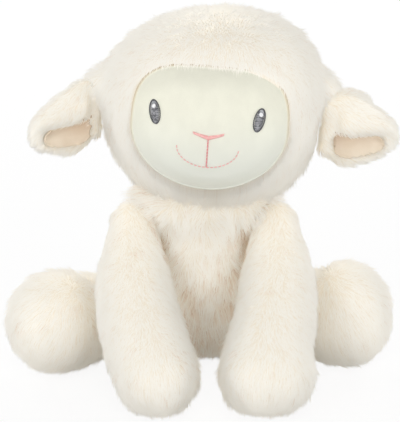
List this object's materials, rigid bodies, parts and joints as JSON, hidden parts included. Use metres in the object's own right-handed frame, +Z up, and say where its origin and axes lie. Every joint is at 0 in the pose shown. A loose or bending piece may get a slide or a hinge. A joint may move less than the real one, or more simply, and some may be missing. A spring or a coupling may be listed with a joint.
{
  "type": "plush sheep",
  "caption": "Sitting plush sheep with long-pile cover, smooth face panel, embroidered face and soft limbs that swing.",
  "frame": {"origin": "middle of the flat seat that the sheep sits on, under its torso", "axes": "+Z up, -Y the way the face looks, +X to the right as a viewer in front of it sees it"},
  "size_m": [0.2675, 0.2386, 0.2501],
  "materials": {
    "plush": "long cream pile, matt",
    "velour": "short smooth pale velour",
    "fibre": "loose white fibre filling",
    "bag": "closed cloth bag of pellets",
    "thread": "strong sewing thread",
    "eye_thread": "dark grey satin stitch",
    "highlight_thread": "white satin stitch",
    "pink_thread": "pink stitches"
  },
  "bodies": {
    "torso": {"torso_cover": "plush", "torso_stuffing": "fibre", "seat_pellet_bag": "bag", "neck_closing_thread": "thread"},
    "neck": {"neck_stuffing": "fibre"},
    "head": {"head_cover": "plush", "head_stuffing": "fibre", "face_panel": "velour", "eye_left": "eye_thread", "eye_right": "eye_thread", "eye_left_highlight": "highlight_thread", "eye_right_highlight": "highlight_thread", "nose_stitches": "pink_thread", "mouth_stitches": "pink_thread"},
    "ear_left": {"ear_left_cover": "plush", "ear_left_lining": "velour"},
    "ear_right": {"ear_right_cover": "plush", "ear_right_lining": "velour"},
    "arm_left": {"arm_left_cover": "plush", "arm_left_stuffing": "fibre"},
    "arm_right": {"arm_right_cover": "plush", "arm_right_stuffing": "fibre"},
    "leg_left": {"leg_left_cover": "plush", "leg_left_stuffing": "fibre"},
    "leg_right": {"leg_right_cover": "plush", "leg_right_stuffing": "fibre"},
    "tail": {"tail": "plush"}
  },
  "joints": [
    {"name": "head_turn", "type": "hinge", "parent": "torso", "child": "neck", "pos_m": [0.001, -0.009, 0.122], "axis": [0, 0, 1], "range_deg": [-18, 18], "stiffness_Nm_per_rad": 0.3},
    {"name": "head_nod", "type": "hinge", "parent": "neck", "child": "head", "pos_m": [0.001, -0.009, 0.122], "axis": [1, 0, 0], "range_deg": [-8, 4], "stiffness_Nm_per_rad": 0.3},
    {"name": "ear_left_swing", "type": "hinge", "parent": "head", "child": "ear_left", "pos_m": [-0.07264, -0.01129, 0.17928], "axis": [0.0698, 0, 0.9976], "range_deg": [-40, 12], "stiffness_Nm_per_rad": 0.02},
    {"name": "ear_right_swing", "type": "hinge", "parent": "head", "child": "ear_right", "pos_m": [0.08182, -0.01671, 0.16747], "axis": [-0.0698, 0, -0.9976], "range_deg": [-25, 25], "stiffness_Nm_per_rad": 0.02},
    {"name": "arm_left_lift", "type": "hinge", "parent": "torso", "child": "arm_left", "pos_m": [-0.047, -0.023, 0.1], "axis": [-1, 0, 0], "range_deg": [0, 30]},
    {"name": "arm_right_lift", "type": "hinge", "parent": "torso", "child": "arm_right", "pos_m": [0.047, -0.023, 0.1], "axis": [-1, 0, 0], "range_deg": [0, 30]},
    {"name": "leg_left_splay", "type": "hinge", "parent": "torso", "child": "leg_left", "pos_m": [-0.053, -0.006, 0.035], "axis": [0, 0, -1], "range_deg": [0, 25]},
    {"name": "leg_right_splay", "type": "hinge", "parent": "torso", "child": "leg_right", "pos_m": [0.053, -0.006, 0.035], "axis": [0, 0, 1], "range_deg": [0, 18]},
    {"name": "tail_wag", "type": "hinge", "parent": "torso", "child": "tail", "pos_m": [0, 0.057, 0.04], "axis": [0, 0, 1], "range_deg": [-20, 20], "stiffness_Nm_per_rad": 0.01}
  ]
}
